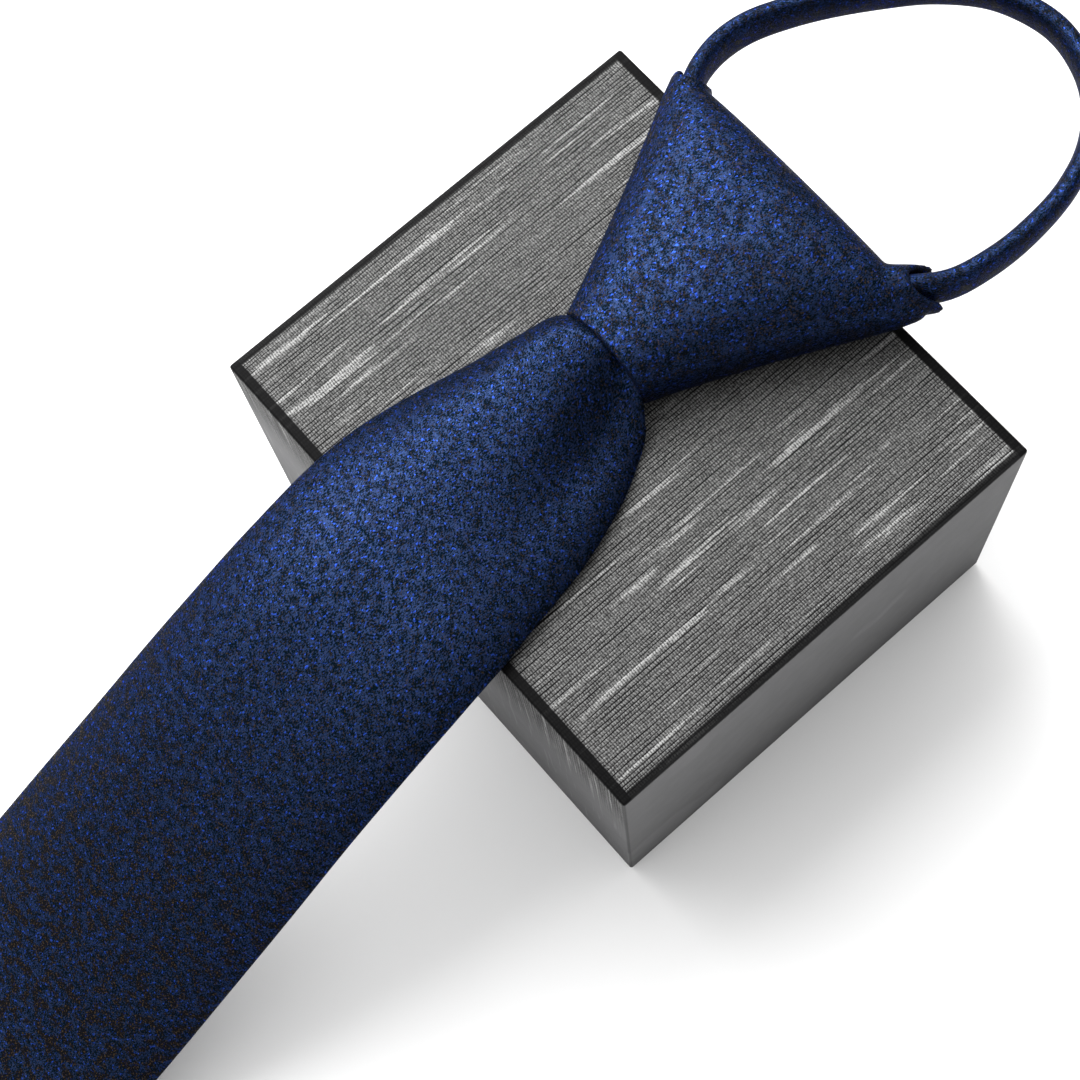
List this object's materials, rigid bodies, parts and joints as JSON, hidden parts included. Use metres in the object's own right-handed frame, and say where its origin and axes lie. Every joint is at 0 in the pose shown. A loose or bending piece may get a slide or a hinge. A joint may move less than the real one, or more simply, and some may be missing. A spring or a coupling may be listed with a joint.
{
  "type": "skinny tie on a gift box",
  "caption": "Ready-tied slim necktie with a hollow trapezoid knot, a closed neck strap and a pointed blade, laid over a closed plain gift box.",
  "frame": {"origin": "centre of the gift box's underside, on the surface that everything rests on", "axes": "+Z up, +Y along the tie from its pointed tip towards the neck loop, +X to the right when looking down with +Y up"},
  "size_m": [0.092, 0.4823, 0.0776],
  "materials": {
    "tie_cloth": "heathered navy satin weave",
    "zip_tape": "matte woven tape",
    "box_paper": "grained satin paper",
    "box_board": "matte board"
  },
  "bodies": {
    "root": {"front_blade": "tie_cloth", "knot_wrap": "tie_cloth", "neck_strap": "tie_cloth", "zip_tail": "zip_tape", "gift_box_lid": "box_paper", "gift_box_tray": "box_board"}
  },
  "joints": []
}
